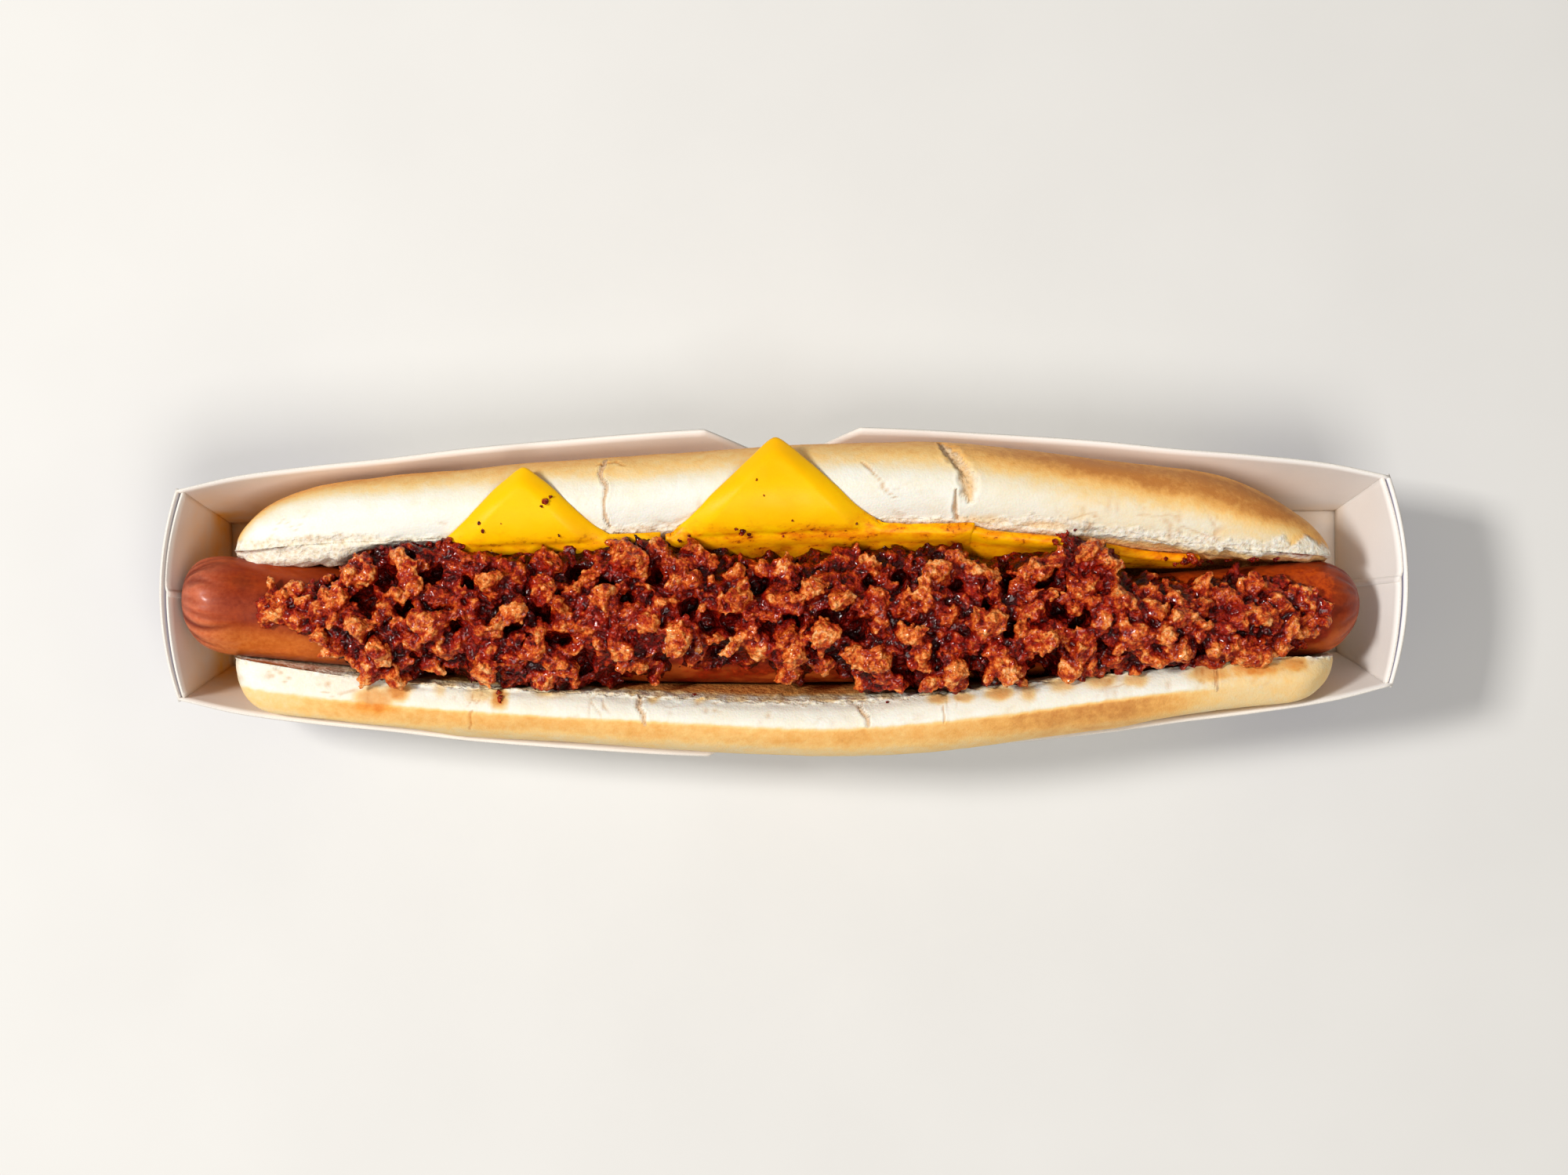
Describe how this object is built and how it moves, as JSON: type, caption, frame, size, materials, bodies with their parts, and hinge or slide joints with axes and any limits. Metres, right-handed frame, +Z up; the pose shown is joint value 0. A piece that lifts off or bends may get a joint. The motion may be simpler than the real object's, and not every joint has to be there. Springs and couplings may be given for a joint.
{
  "type": "chili cheese hot dog in a paper tray",
  "caption": "Foot-long hot dog in a split bun, with cheese slices and a heap of chili meat sauce, lying in a long folded paperboard tray with notched sides.",
  "frame": {"origin": "middle of the tray's underside, at the bottom centre of the whole", "axes": "+X along the food, +Y towards the wide half of the bun that the cheese corners lie on, +Z up"},
  "size_m": [0.325, 0.0862, 0.0566],
  "materials": {
    "paperboard": "smooth coated white board",
    "bread": "soft matte bread: pale crumb-white where split and against its neighbours, golden brown crust outside",
    "sausage": "grilled casing with a wet sheen",
    "cheese": "smooth soft processed cheese, satin",
    "meat_sauce": "wet, oily minced meat in a thick red-brown sauce"
  },
  "bodies": {
    "root": {"tray": "paperboard", "bun": "bread", "frankfurter": "sausage", "cheese_left": "cheese", "cheese_middle": "cheese", "cheese_right": "cheese", "chili": "meat_sauce"}
  },
  "joints": []
}
